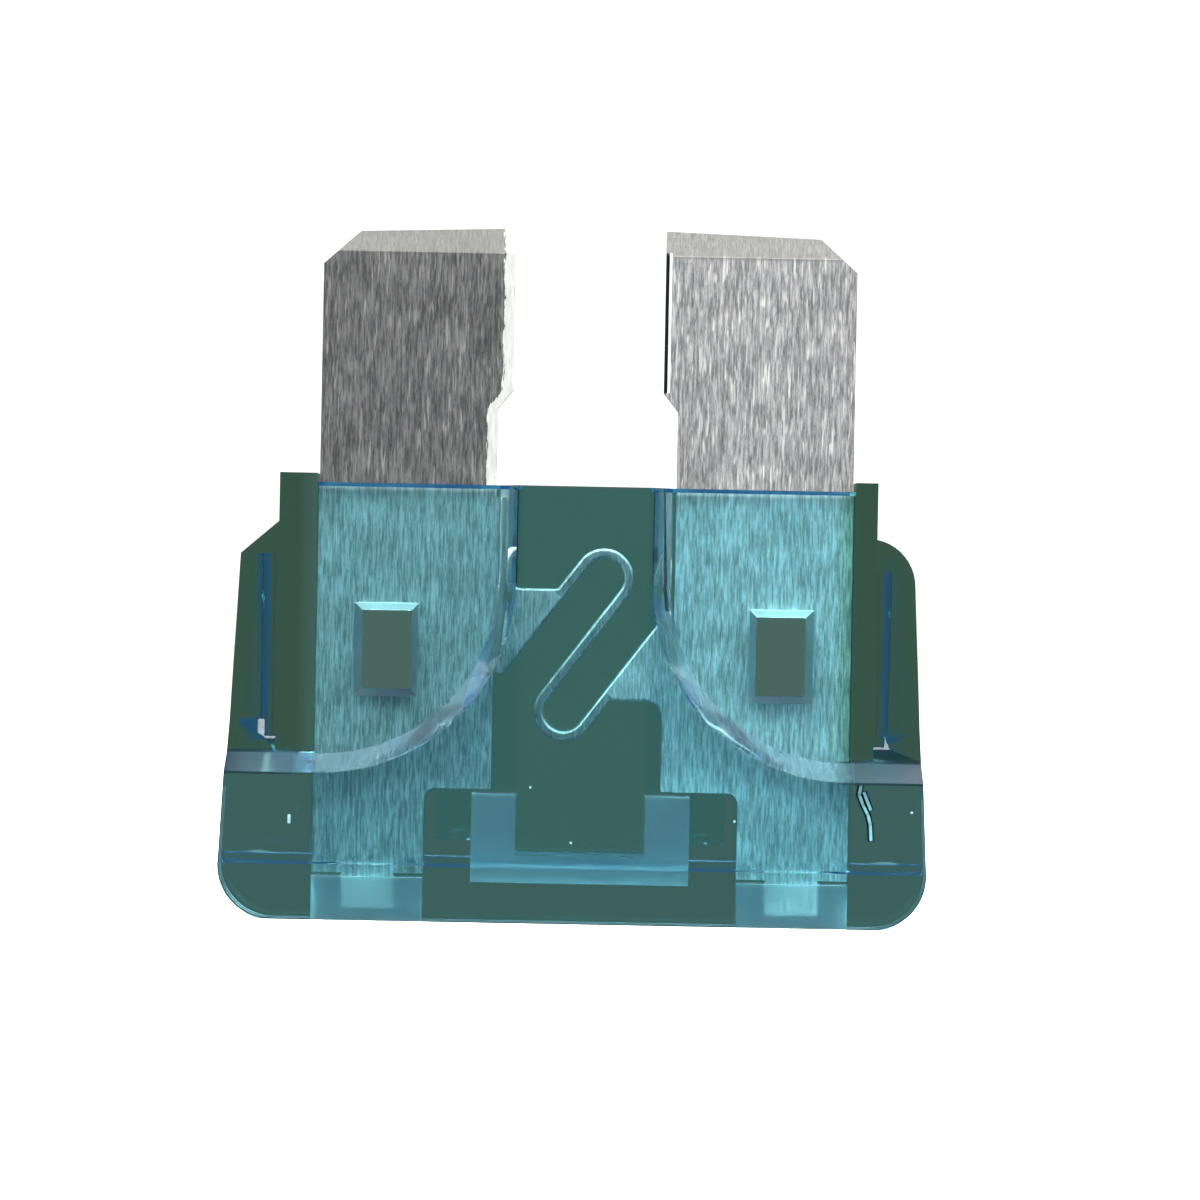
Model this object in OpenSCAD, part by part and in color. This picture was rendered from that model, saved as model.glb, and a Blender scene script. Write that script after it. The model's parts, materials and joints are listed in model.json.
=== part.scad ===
// Regular automotive blade fuse: a clear moulded housing around a stamped element.
// X runs across the two blades, Y through the thickness, Z from the grip end to the blade tips.

/* [Blades] */
// Overall height from the grip end to the blade tips
fuse_h = 18.8; // [17.5:0.1:21]
// Width over both blades
blades_w = 14.5; // [13.8:0.1:15]
// Gap between the blade tips
tip_gap = 4.1; // [3.6:0.1:4.8]
// Thickness of the blades
blade_t = 0.65; // [0.5:0.05:0.8]
// Height above the grip end where the wide tips begin
tip_z = 14.4; // [13.4:0.1:15.5]
// Height of the sloped shoulder under a wide tip
shoulder_h = 0.5; // [0.2:0.1:1]
// Width of the corner cut at the outer side of a tip
corner_w = 1; // [0.4:0.1:1.8]
// Height of the corner cut at the outer side of a tip
corner_h = 0.9; // [0.4:0.1:1.8]
// Fall of the tip from the gap to the corner cut
tip_fall = 0.14; // [0:0.02:0.4]
// Length of the thinned lead at the tips
lead_l = 0.55; // [0.3:0.05:1.2]
// Thickness of the blades at the very tip
lead_t = 0.4; // [0.3:0.05:0.6]

/* [Element inside the housing] */
// Distance between the two extensions that carry the link
extension_gap = 4.9; // [4.6:0.1:5.4]
// Height of the lower edge of the extensions
extension_z = 3.57; // [3.1:0.1:4.1]
// Inner edge of a test tab from the centre line
tab_x = 4.25; // [3.8:0.05:4.7]
// Height of the lower edge of a test tab
tab_z = 1.25; // [1:0.05:1.6]
// Width of the probe tip under a test tab
probe_w = 1.4; // [1.2:0.1:2.2]
// Distance of the probe tips from the grip end
probe_z = 0.3; // [0.2:0.05:0.8]
// Fillet between an extension and its tab
tab_r = 0.3; // [0.1:0.05:0.6]
// Width of a staking hole
hole_w = 1.4; // [1:0.1:1.8]
// Height of a staking hole
hole_h = 2.2; // [1.6:0.1:2.6]
// Distance of a staking hole from the centre line
hole_x = 5.35; // [5:0.05:5.6]
// Height of the middle of the staking holes
hole_z = 7.3; // [6.8:0.1:8]
// Corner radius of a staking hole
hole_r = 0.12; // [0.05:0.01:0.3]

/* [Link] */
// Width of the S-shaped link
link_w = 0.25; // [0.15:0.01:0.4]
// Thickness of the thinned zone that holds the link
link_t = 0.3; // [0.15:0.05:0.5]
// Height of the middle of the link
link_z = 7.53; // [7.3:0.01:7.8]
// Slope of the straight strips of the link
link_angle = 53; // [48:1:56]
// Distance from the middle of the link to the centre of a bend
bend_s = 1.76; // [1.4:0.02:1.8]
// Radius of the bends at the middle of the strip
bend_r = 0.68; // [0.56:0.02:0.76]
// Width of the thinned margin beside an extension
margin_w = 0.3; // [0.15:0.05:0.4]
// Height of the web where a strip joins its margin, from the middle of the link
web_z = 1.5; // [1.3:0.05:1.7]
// Fillet between the web and the margin
web_r = 0.45; // [0.2:0.05:0.6]

/* [Housing] */
// Distance of everything inside from the middle of the outer contour
inner_shift = 0.2; // [0:0.05:0.25]
// Width of the grip bar
grip_w = 19.1; // [18.6:0.1:20]
// Thickness of the grip bar
grip_t = 5.1; // [5:0.1:5.8]
// Height of the thick edge of the grip bar
grip_h = 1.8; // [1.5:0.1:2.2]
// Height of the slope that ends the grip bar on its two faces
rim_slope = 0.3; // [0.1:0.05:0.5]
// Corner radius of the grip bar
grip_r = 1.45; // [0.8:0.05:1.7]
// Draft angle of the two sides
side_draft = 2.8; // [1.5:0.1:3.5]
// Thickness over the raised faces
face_t = 4.85; // [4.5:0.05:4.95]
// Thickness over the recessed walls beside the column
recess_t = 2.45; // [2.1:0.05:2.9]
// Width over the outer walls of the body
body_w = 16.2; // [15.9:0.1:16.6]
// Height of the housing at the mouth
body_h = 11.8; // [11.6:0.1:12.3]
// Height of the two outer walls past the mouth
ear_h = 0.25; // [0.1:0.05:0.5]
// Width between the column edges at the recessed walls
column_w = 4.7; // [4.4:0.1:5.2]
// Radius of the arcs between column and head
arc_r = 4.7; // [4:0.1:5]
// Height of the head at the recessed walls
head_h = 4.46; // [4.1:0.05:4.8]
// Width of the slope around a recess, seen from the front
slope_w = 0.5; // [0.3:0.05:0.8]

/* [Wings] */
// Thickness of the side wings
wing_t = 1.6; // [1:0.1:1.8]
// Height where the wings leave the head
wing_z = 5.35; // [5:0.05:5.8]
// Height of the slope from the recessed walls to the wings
wing_slope = 0.85; // [0.4:0.05:0.95]
// Distance of the top of the left wing below the mouth, at the body
left_wing_drop = 1.05; // [0.8:0.05:1.8]
// Height of the straight cut at the top of the left wing
wing_cut = 0.9; // [0.5:0.05:1.4]
// Distance of the top of the right wing below the mouth, at the body
right_wing_drop = 1.25; // [0.8:0.05:1.8]
// Radius of the rounded top of the right wing
wing_r = 1.3; // [1:0.05:1.6]
// Width of the narrow step between body and wings
step_w = 0.3; // [0.1:0.05:0.5]
// Thickness of the narrow step between body and wings
step_t = 2.05; // [1.9:0.05:2.2]

/* [Cavities] */
// Clearance between the element and its slot, on every side
slot_gap = 0.05; // [0.03:0.01:0.1]
// Width of the cavity around the link
cavity_w = 3.5; // [3.3:0.1:4]
// Thickness of the cavity around the link
cavity_t = 2.6; // [2:0.1:3]
// Height of the floor of the cavity
cavity_z = 1.8; // [1.4:0.05:2.2]
// Thickness of the plastic under the wide pocket
floor_z = 1.06; // [0.8:0.02:1.3]
// Width of the wide pocket at the foot of the cavity
pocket_w = 5.9; // [5.2:0.1:6.4]
// Thickness of the wide pocket
pocket_t = 1.6; // [1.2:0.1:2]
// Height of the top of the wide pocket
pocket_h = 3.45; // [3:0.05:3.5]
// Depth of the relief under an extension, between the wide pocket and the test tab
relief_h = 1.35; // [0.8:0.05:1.6]
// Wall between the relief and the slot of the test tab
relief_wall = 0.3; // [0.2:0.05:0.5]
// Width of a test opening in the grip end
test_w = 3; // [2.4:0.1:3.4]
// Thickness of a test opening
test_t = 1.6; // [1.2:0.1:2.2]
// Depth of a test opening
test_h = 1.15; // [0.9:0.05:1.2]
// Margin of a stake pit around its hole at the outer face
pit_w = 0.2; // [0.1:0.02:0.4]
// Thickness of the plastic left between the two pits of a hole
pit_web = 1.15; // [1.05:0.05:1.5]
// Clearance between a plug and its hole
plug_gap = 0.03; // [0.02:0.01:0.06]
// Depth of the lead-in at the mouth of the slot
lead_in = 0.1; // [0.05:0.05:0.4]

/* [Hidden] */
$fn = 96;
// Overlap that keeps cutters from ending on a face
cut = 0.1;
plastic = "#5FA0A5B0";
zinc = "#AFAFAC";

// Half sizes that several modules share
blade_x = blades_w / 2;
tip_x = tip_gap / 2;
extension_x = extension_gap / 2;
tab_mid = (tab_x + blade_x) / 2;
side_run = tan(side_draft);
body_x = body_w / 2;
slot_t = blade_t + 2 * slot_gap;
slot_x = blade_x + slot_gap;
arc_x = column_w / 2 + arc_r;
arc_z = head_h + arc_r;
left_wing_h = body_h - left_wing_drop;
right_wing_h = body_h - right_wing_drop;
web_inner = 2 * bend_r - link_w / 2;

// Half width of the drafted sides at a height
function side_x(z) = grip_w / 2 - (z - grip_r) * side_run;

// A flat shape in X and Z, given a thickness in Y about the middle plane
module plate(t) {
    translate([0, t / 2, 0])
        rotate([90, 0, 0])
            linear_extrude(height = t)
                children();
}

// A child and its mirror image across the centre line
module both_sides() {
    children();
    mirror([1, 0, 0])
        children();
}

// A child on the front face and its copy on the back face
module front_and_back() {
    children();
    rotate(180)
        children();
}

// The place of everything inside the outer contour
module inner_place() {
    translate([inner_shift, 0, 0])
        children();
}

// A rectangle with rounded corners about its middle
module rounded_rectangle(w, h, r) {
    square([w - 2 * r, h], center = true);
    square([w, h - 2 * r], center = true);
    for (x = [r - w / 2, w / 2 - r], z = [r - h / 2, h / 2 - r])
        translate([x, z])
            circle(r);
}

// Corner filler between a wall along +X and a wall along +Z, rounded to radius r
module fillet_corner(r) {
    difference() {
        translate([-cut, -cut])
            square(r + cut);
        translate([r, r])
            circle(r);
    }
}

// Outline of the right blade, its extension and its test tab
module blade_outline() {
    polygon([
        [tip_x, fuse_h],
        [blade_x - corner_w, fuse_h - tip_fall],
        [blade_x, fuse_h - tip_fall - corner_h],
        [blade_x, tab_z],
        [tab_mid + probe_w / 2, tab_z],
        [tab_mid + probe_w / 2, probe_z],
        [tab_mid - probe_w / 2, probe_z],
        [tab_mid - probe_w / 2, tab_z],
        [tab_x, tab_z],
        [tab_x, extension_z],
        [extension_x, extension_z],
        [extension_x, tip_z - shoulder_h],
        [tip_x, tip_z],
    ]);
    translate([tab_x, extension_z])
        mirror([1, 1])
            fillet_corner(tab_r);
}

// Half of the link: a straight strip, a bend, the strip back and the web that joins the left margin
module half_link() {
    rotate(link_angle) {
        translate([-cut, -link_w / 2])
            square([bend_s + cut, link_w]);
        translate([bend_s, bend_r])
            intersection() {
                difference() {
                    circle(bend_r + link_w / 2);
                    circle(bend_r - link_w / 2);
                }
                translate([0, -2 * bend_r])
                    square(4 * bend_r);
            }
        translate([0, web_inner])
            square([bend_s, link_w]);
    }
    web_outer = web_inner + link_w;
    margin_in = extension_x - margin_w;
    // Where the strip's outer edge meets the flat top of the web, and its inner edge meets the margin
    top_s = (web_z - web_outer * cos(link_angle)) / sin(link_angle);
    low_s = (web_inner * sin(link_angle) - margin_in) / cos(link_angle);
    top_x = top_s * cos(link_angle) - web_outer * sin(link_angle);
    low_z = low_s * sin(link_angle) + web_inner * cos(link_angle);
    strip_x = top_s * cos(link_angle) - web_inner * sin(link_angle);
    strip_z = top_s * sin(link_angle) + web_inner * cos(link_angle);
    polygon([
        [top_x, web_z],
        [strip_x, strip_z],
        [-margin_in, low_z],
        [-extension_x - cut, low_z],
        [-extension_x - cut, web_z],
    ]);
    translate([-extension_x - cut, low_z])
        square([margin_w + cut, link_z - extension_z - low_z]);
    translate([-margin_in, web_z])
        fillet_corner(web_r);
}

// Thinned zone between the extensions
module link_outline() {
    translate([0, link_z]) {
        half_link();
        rotate(180)
            half_link();
    }
}

// Wedges that thin both faces of the blades towards their tips
module lead_cutters() {
    for (side = [-1, 1])
        translate([-blade_x - cut, 0, 0])
            rotate([90, 0, 90])
                linear_extrude(height = blades_w + 2 * cut)
                    polygon([
                        [side * blade_t / 2, fuse_h - tip_fall - lead_l],
                        [side * lead_t / 2, fuse_h],
                        [side * lead_t / 2, fuse_h + cut],
                        [side * (blade_t / 2 + cut), fuse_h + cut],
                        [side * (blade_t / 2 + cut), fuse_h - tip_fall - lead_l],
                    ]);
}

module fuse_element() {
    color(zinc)
        inner_place() {
            difference() {
                plate(blade_t)
                    both_sides()
                        difference() {
                            blade_outline();
                            translate([hole_x, hole_z])
                                rounded_rectangle(hole_w, hole_h, hole_r);
                        }
                lead_cutters();
            }
            plate(link_t)
                link_outline();
        }
}

// Front outline between the drafted sides, from one height to another
module side_outline(low, high) {
    polygon([
        [-side_x(low), low],
        [side_x(low), low],
        [side_x(high), high],
        [-side_x(high), high],
    ]);
}

// Front outline of the grip bar with its rounded corners
module grip_outline() {
    side_outline(grip_r, grip_h);
    translate([grip_r - grip_w / 2, 0])
        square([grip_w - 2 * grip_r, grip_r]);
    intersection() {
        for (x = [grip_r - grip_w / 2, grip_w / 2 - grip_r])
            translate([x, grip_r])
                circle(grip_r);
        translate([-grip_w / 2, 0])
            square([grip_w, grip_r]);
    }
}

// Grip bar, thicker than the head, with a slope where it ends on the two faces
module grip_bar() {
    intersection() {
        plate(grip_t)
            grip_outline();
        translate([-grip_w / 2, 0, 0])
            rotate([90, 0, 90])
                linear_extrude(height = grip_w)
                    polygon([
                        [-grip_t / 2, 0],
                        [grip_t / 2, 0],
                        [grip_t / 2, grip_h - rim_slope],
                        [face_t / 2, grip_h],
                        [-face_t / 2, grip_h],
                        [-grip_t / 2, grip_h - rim_slope],
                    ]);
    }
}

// Wing outlines: the left top is cut straight, the right top is rounded
module wings_outline() {
    side_outline(grip_r, right_wing_h - wing_r);
    polygon([
        [0, grip_h],
        [-side_x(grip_h), grip_h],
        [-side_x(left_wing_h - wing_cut), left_wing_h - wing_cut],
        [-body_x, left_wing_h],
        [0, left_wing_h],
    ]);
    outer = side_x(right_wing_h - wing_r) - wing_r;
    translate([outer, right_wing_h - wing_r])
        circle(wing_r);
    translate([0, grip_h])
        square([outer, right_wing_h - grip_h]);
}

// Section along Y and Z of the slope between a recessed wall and a wing, as a cutter for the front face
module wing_cutter() {
    half = face_t / 2 + cut;
    side = grip_w / 2 - body_x + cut;
    translate([body_x, 0, 0])
        rotate([90, 0, 90])
            linear_extrude(height = side)
                polygon([
                    [-wing_t / 2, wing_z],
                    [-recess_t / 2, wing_z - wing_slope],
                    [-half, wing_z - wing_slope],
                    [-half, body_h],
                    [-wing_t / 2, body_h],
                ]);
}

// Recess beside the column on the front face: straight walls and an arc corner, all sloped alike
module recess_cutter() {
    depth = (face_t - recess_t) / 2;
    over = slope_w * cut / depth;
    reach = grip_w / 2 + inner_shift - arc_x + cut;
    translate([arc_x, -recess_t / 2, 0]) {
        translate([0, 0, arc_z])
            rotate([90, 0, 0])
                cylinder(h = depth + cut, r1 = arc_r, r2 = arc_r + slope_w + over);
        // Sloped wall of the head, from the arc out past the side
        rotate([90, 0, 90])
            linear_extrude(height = reach)
                polygon([
                    [0, head_h],
                    [-depth - cut, head_h - slope_w - over],
                    [-depth - cut, body_h + ear_h + cut],
                    [0, body_h + ear_h + cut],
                ]);
        // Sloped wall of the column, from the arc up past the mouth
        translate([0, 0, arc_z])
            linear_extrude(height = body_h + ear_h + cut - arc_z)
                polygon([
                    [-arc_r, 0],
                    [-arc_r - slope_w - over, -depth - cut],
                    [cut, -depth - cut],
                    [cut, 0],
                ]);
    }
}

// Body with the head, the column, the recessed walls and the wings, before it is hollowed
module housing_solid() {
    grip_bar();
    difference() {
        difference() {
            plate(face_t) {
                side_outline(grip_r, wing_z);
                translate([-body_x, grip_h])
                    square([body_w, body_h - grip_h]);
            }
            inner_place()
                front_and_back()
                    both_sides()
                        recess_cutter();
        }
        front_and_back()
            both_sides()
                wing_cutter();
    }
    // Outer walls that stand a little past the mouth, the right one thinner by the place of the slot
    plate(recess_t) {
        translate([-body_x, grip_h])
            square([body_x - slot_x + inner_shift, body_h + ear_h - grip_h]);
        translate([slot_x + inner_shift, grip_h])
            square([body_x - slot_x - inner_shift, body_h + ear_h - grip_h]);
    }
    plate(step_t) {
        translate([-body_x - step_w, grip_h])
            square([step_w + cut, left_wing_h - wing_cut - grip_h]);
        translate([body_x - cut, grip_h])
            square([step_w + cut, right_wing_h - wing_cut - grip_h]);
    }
    plate(wing_t)
        wings_outline();
}

// Everything that is hollow inside the housing
module housing_hollows() {
    // Slot for the element, with a lead-in at the mouth
    slot_z = extension_z - slot_gap;
    plate(slot_t)
        translate([-slot_x, slot_z])
            square([2 * slot_x, body_h + ear_h + cut - slot_z]);
    translate([-slot_x, 0, body_h - lead_in])
        rotate([90, 0, 90])
            linear_extrude(height = 2 * slot_x)
                polygon([
                    [-slot_t / 2, 0],
                    [slot_t / 2, 0],
                    [slot_t / 2 + lead_in + cut, lead_in + cut],
                    [-slot_t / 2 - lead_in - cut, lead_in + cut],
                ]);
    // Slots for the test tabs, and the test openings under them
    both_sides() {
        translate([tab_x - slot_gap, -slot_t / 2, tab_z - slot_gap])
            cube([slot_x - tab_x + slot_gap, slot_t, slot_z - tab_z + 2 * slot_gap]);
        plate(slot_t)
            translate([tab_x - slot_gap, slot_z])
                mirror([1, 1])
                    fillet_corner(tab_r);
        // Relief between the wide pocket and the wall beside the test tab
        plate(slot_t)
            translate([pocket_w / 2 - cut, slot_z - relief_h])
                square([tab_x - slot_gap - relief_wall - pocket_w / 2 + cut, relief_h + cut]);
        translate([tab_mid - test_w / 2, -test_t / 2, -cut])
            cube([test_w, test_t, test_h + cut]);
        translate([tab_mid - probe_w / 2 - slot_gap, -slot_t / 2, 0])
            cube([probe_w + 2 * slot_gap, slot_t, tab_z]);
    }
    // Cavity around the link, open at the mouth, and the wide pocket at its foot
    translate([-cavity_w / 2, -cavity_t / 2, cavity_z])
        cube([cavity_w, cavity_t, body_h + cut - cavity_z]);
    translate([-pocket_w / 2, -pocket_t / 2, floor_z])
        cube([pocket_w, pocket_t, pocket_h - floor_z]);
}

// One stake pit on the front face: a sloped rectangular funnel down to the web
module stake_pit() {
    depth = (recess_t - pit_web) / 2;
    over = pit_w * cut / depth;
    w = hole_w / 2 - plug_gap;
    h = hole_h / 2 - plug_gap;
    intersection() {
        translate([hole_x, 0, hole_z - h - pit_w - over])
            linear_extrude(height = 2 * (h + pit_w + over))
                polygon([
                    [-w, -pit_web / 2],
                    [w, -pit_web / 2],
                    [w + pit_w + over, -recess_t / 2 - cut],
                    [-w - pit_w - over, -recess_t / 2 - cut],
                ]);
        translate([hole_x - w - pit_w - over, 0, hole_z])
            rotate([90, 0, 90])
                linear_extrude(height = 2 * (w + pit_w + over))
                    polygon([
                        [-pit_web / 2, -h],
                        [-pit_web / 2, h],
                        [-recess_t / 2 - cut, h + pit_w + over],
                        [-recess_t / 2 - cut, -h - pit_w - over],
                    ]);
    }
}

// Plugs of plastic that fill the staking holes across the slot
module stake_plugs() {
    plate(slot_t + 2 * cut)
        both_sides()
            translate([hole_x, hole_z])
                rounded_rectangle(hole_w - 2 * plug_gap, hole_h - 2 * plug_gap, hole_r);
}

module housing() {
    color(plastic)
        difference() {
            union() {
                difference() {
                    housing_solid();
                    inner_place()
                        housing_hollows();
                }
                inner_place()
                    stake_plugs();
            }
            inner_place()
                front_and_back()
                    both_sides()
                        stake_pit();
        }
}

housing();
fuse_element();
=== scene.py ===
"""Automotive blade fuse: clear plastic, rolled zinc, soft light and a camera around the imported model."""
import json
import math

import bmesh
import bpy
from bpy.props import FloatProperty, FloatVectorProperty, PointerProperty
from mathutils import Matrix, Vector

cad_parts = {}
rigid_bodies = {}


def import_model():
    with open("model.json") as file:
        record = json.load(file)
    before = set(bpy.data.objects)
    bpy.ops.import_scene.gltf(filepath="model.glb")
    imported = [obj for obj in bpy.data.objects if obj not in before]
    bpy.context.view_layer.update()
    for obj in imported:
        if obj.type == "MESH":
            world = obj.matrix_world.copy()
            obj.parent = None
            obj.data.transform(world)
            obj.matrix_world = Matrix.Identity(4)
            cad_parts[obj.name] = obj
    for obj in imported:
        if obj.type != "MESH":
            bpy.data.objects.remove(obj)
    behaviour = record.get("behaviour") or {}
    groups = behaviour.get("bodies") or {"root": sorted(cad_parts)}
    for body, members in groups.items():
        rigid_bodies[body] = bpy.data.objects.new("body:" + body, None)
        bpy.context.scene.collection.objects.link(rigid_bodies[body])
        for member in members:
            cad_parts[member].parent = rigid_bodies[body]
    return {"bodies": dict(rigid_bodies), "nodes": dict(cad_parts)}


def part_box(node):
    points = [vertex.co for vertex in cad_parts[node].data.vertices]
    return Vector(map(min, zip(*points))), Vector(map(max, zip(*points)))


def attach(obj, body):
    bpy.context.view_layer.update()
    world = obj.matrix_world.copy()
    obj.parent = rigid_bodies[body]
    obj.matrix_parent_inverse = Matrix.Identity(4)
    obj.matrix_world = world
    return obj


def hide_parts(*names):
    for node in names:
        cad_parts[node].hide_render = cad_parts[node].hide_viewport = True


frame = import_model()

bl_info = {
    "name": "Blade Fuse",
    "version": (1, 0, 0),
    "blender": (4, 5, 0),
    "location": "3D View > Sidebar > Blade Fuse",
    "description": "Dresses the packed blade fuse with clear plastic, rolled zinc, soft light and a camera",
    "category": "Object",
}

MM = 0.001
BODY = next(iter(frame["bodies"]))
HOUSING_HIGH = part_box("housing")[1]
ELEMENT_LOW, ELEMENT_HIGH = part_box("fuse_element")

# The mouth of the housing lies this far below its outer walls
MOUTH_DROP = 0.25 * MM
MOUTH_Z = HOUSING_HIGH.z - MOUTH_DROP
# Middle and slope of the link
LINK_X = (ELEMENT_LOW.x + ELEMENT_HIGH.x) / 2
LINK_Z = 7.53 * MM
LINK_ANGLE = math.radians(53)

# Settings of nodes that several materials use
RGBA = {"data_type": "RGBA"}
ABSOLUTE = {"operation": "ABSOLUTE"}
ADD = {"operation": "ADD"}
COMPARE = {"operation": "COMPARE"}
GREATER = {"operation": "GREATER_THAN"}
LESS = {"operation": "LESS_THAN"}
LARGER = {"operation": "MAXIMUM"}
MULTIPLY = {"operation": "MULTIPLY"}
SCALE = {"operation": "SCALE"}
SUBTRACT = {"operation": "SUBTRACT"}

# Where the photograph shows the foot of the fuse, in pixels of its 1200 x 1200 frame
PHOTO_SIDE = 1200
PHOTO_FOOT_X = 571
PHOTO_FOOT_Y = 921


def linear(code):
    """Linear red, green, blue and an alpha of 1 from an sRGB hex colour."""
    parts = [int(code[i:i + 2], 16) / 255 for i in (1, 3, 5)]
    return tuple(c / 12.92 if c <= 0.04045 else ((c + 0.055) / 1.055) ** 2.4 for c in parts) + (1.0,)


def add_node(tree, kind, settings=None, **inputs):
    """Adds a node with its own settings, and fills its inputs with values or with links from sockets."""
    node = tree.nodes.new(kind)
    for name, value in (settings or {}).items():
        setattr(node, name, value)
    for name, value in inputs.items():
        key = int(name[1:]) if name[0] == "i" and name[1:].isdigit() else name.replace("_", " ")
        if isinstance(value, bpy.types.NodeSocket):
            tree.links.new(value, node.inputs[key])
        else:
            node.inputs[key].default_value = value
    return node


def new_material(name):
    """An empty node material and its tree."""
    material = bpy.data.materials.new(name)
    material.use_nodes = True
    material.node_tree.nodes.clear()
    return material, material.node_tree


def colour_property(label, code, description):
    """A colour that the user can change, given as sRGB hex."""
    return FloatVectorProperty(name=label, description=description, subtype="COLOR", size=4, min=0, max=1,
                               default=linear(code))


def length_property(label, millimetres, description):
    """A length that the user can change, given in millimetres."""
    return FloatProperty(name=label, description=description, subtype="DISTANCE", unit="LENGTH", min=0,
                         default=millimetres * MM, precision=6)


class HousingLook(bpy.types.PropertyGroup):
    """Finish of the moulded housing."""
    colour: colour_property("Plastic", "#D4FBFE", "Tint of a thin layer of the plastic")
    # Painted shade: the walls and wings at the ends are coloured darker, for the cloth seen through them
    walls: colour_property("Walls", "#A8D3BE", "Tint of the walls and wings at the two ends")
    # Painted shade: the pit slopes and the head steps are coloured darker than the rest of the plastic
    slopes: colour_property("Slopes", "#6F9499", "Tint of the slopes around the pits")
    steps: colour_property("Steps", "#2B4E55", "Tint of the steps from the head up to the wings")
    depth: colour_property("Depth", "#F3FBFD", "Colour that each millimetre of the plastic lets through")
    edge: length_property("Edge", 0.05, "Radius of the moulded outer edges")
    ior: FloatProperty(name="IOR", description="Refractive index of the plastic", default=1.57, min=1,
                       max=2)
    roughness: FloatProperty(name="Roughness", description="Roughness of the polished faces", default=0.05)
    step_roughness: FloatProperty(name="Step roughness", description="Roughness of the steps over the head",
                                  default=0.3)
    core_roughness: FloatProperty(name="Core roughness", description="Roughness of the inner faces",
                                  default=0.45)


class ElementLook(bpy.types.PropertyGroup):
    """Finish of the stamped element."""
    dull: colour_property("Dull zinc", "#777674", "Darkest rolling lines of the handled blades")
    bright: colour_property("Bright zinc", "#B4B1AC", "Lightest rolling lines of the handled blades")
    dash: colour_property("Dashes", "#CFCCC4", "Sparse bright dashes of the handled blades")
    # Painted highlight: a beige strip along the left blade's rolled-over inner edge
    painted_light: colour_property("Worn zinc", "#DAD8CE", "Beige rim that the terminals rubbed bright")
    # Painted shade: the thin lead-ins at the tips are painted darker
    tip: colour_property("Tip", "#6A6965", "Thin leads at the tips, worn beige")
    # Painted light: the zinc in the housing is painted far brighter than the bare blades
    clean: colour_property("Clean zinc", "#F4F4F2", "Lightest lines of the metal inside the housing")
    painted_lit_zinc_dark: colour_property("Clean zinc, dark", "#B6B6B2", "Darkest lines of the metal in the housing")
    # Painted reflection and painted shadow: the cloth in the link's flat faces, the line beside the burr
    shadow: colour_property("Shadow", "#1C201E", "Coined faces of the link, which mirror the dark cloth")
    left_bare: FloatProperty(name="Left bare", description="Brightness of the bare left blade",
                             default=0.41)
    left_inside: FloatProperty(name="Left inside", description="Brightness of the left half in the housing",
                               default=0.7)
    edge: length_property("Edge", 0.03, "Radius of the stamped edges")
    link_edge: length_property("Link edge", 0.06, "Radius of the coined edges of the link")
    line: length_property("Line", 0.05, "Width of the rolling lines")
    roughness: FloatProperty(name="Roughness", description="Mean roughness of the metal", default=0.5)


class FlawsLook(bpy.types.PropertyGroup):
    """Crack and bubbles in the housing."""
    # Painted highlight and painted shadow: white crack, dash and bubbles, dark flanks of the crack
    colour: colour_property("Flaws", "#E8F4F0", "White of the broken plastic")
    shadow: colour_property("Shadow", "#132A30", "Dark flanks of the crack, where light is turned away")
    crack_width: length_property("Crack width", 0.075, "Width of the crack in the front view")
    crack_depth: length_property("Crack depth", 1.15, "Distance of the crack's front from the middle plane")
    speck: length_property("Speck", 0.038, "Radius of the bubbles")
    face_depth: length_property("Face depth", 2.4, "Distance of the other flaws from the middle plane")


class StageLook(bpy.types.PropertyGroup):
    """Floor, lamps and camera."""
    floor: colour_property("Floor", "#F4F4F2", "Pale floor")
    cloth: colour_property("Cloth", "#5F6A60", "Dark green cloth seen straight through the plastic")
    shade: colour_property("Shade", "#3C6492", "Deep blue shade around the cloth")
    daylight: colour_property("Daylight", "#6B7886", "Soft daylight from all other sides")
    scale: FloatProperty(name="Scale", description="Pixels of the photograph per millimetre", default=36.75)
    roll: FloatProperty(name="Roll", description="Lean of the fuse in the photograph", subtype="ANGLE",
                        default=math.radians(1.1))
    lens: FloatProperty(name="Lens", description="Focal length of the camera in millimetres", default=250)


# Corners of the CAD's triangles that are closer than this are one, and faces that turn less are one face
WELD_DISTANCE = 0.0005 * MM
FLAT_ANGLE = math.radians(0.3)
# Faces that turn less than this are shaded as one round surface
SMOOTH_ANGLE = math.radians(14)
# Edges that turn more than this are rounded, in degrees
MOULDED_TURN = 50
STAMPED_TURN = 25


def edit_copy(node_name, piece_name):
    """A copy of a CAD node with its loose triangles merged into flat faces, left in edit mode."""
    bpy.ops.object.select_all(action="DESELECT")
    node = frame["nodes"][node_name]
    node.select_set(True)
    bpy.context.view_layer.objects.active = node
    bpy.ops.object.duplicate()
    piece = bpy.context.active_object
    bpy.ops.object.parent_clear(type="CLEAR_KEEP_TRANSFORM")
    piece.name = piece_name
    piece.data.name = piece_name
    for key in list(piece.keys()):
        del piece[key]
    piece.data.materials.clear()
    bpy.ops.object.mode_set(mode="EDIT")
    bpy.ops.mesh.select_mode(type="EDGE")
    bpy.ops.mesh.select_all(action="SELECT")
    bpy.ops.mesh.remove_doubles(threshold=WELD_DISTANCE)
    bpy.ops.mesh.dissolve_limited(angle_limit=FLAT_ANGLE)
    bpy.ops.mesh.select_all(action="DESELECT")
    return piece


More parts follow.
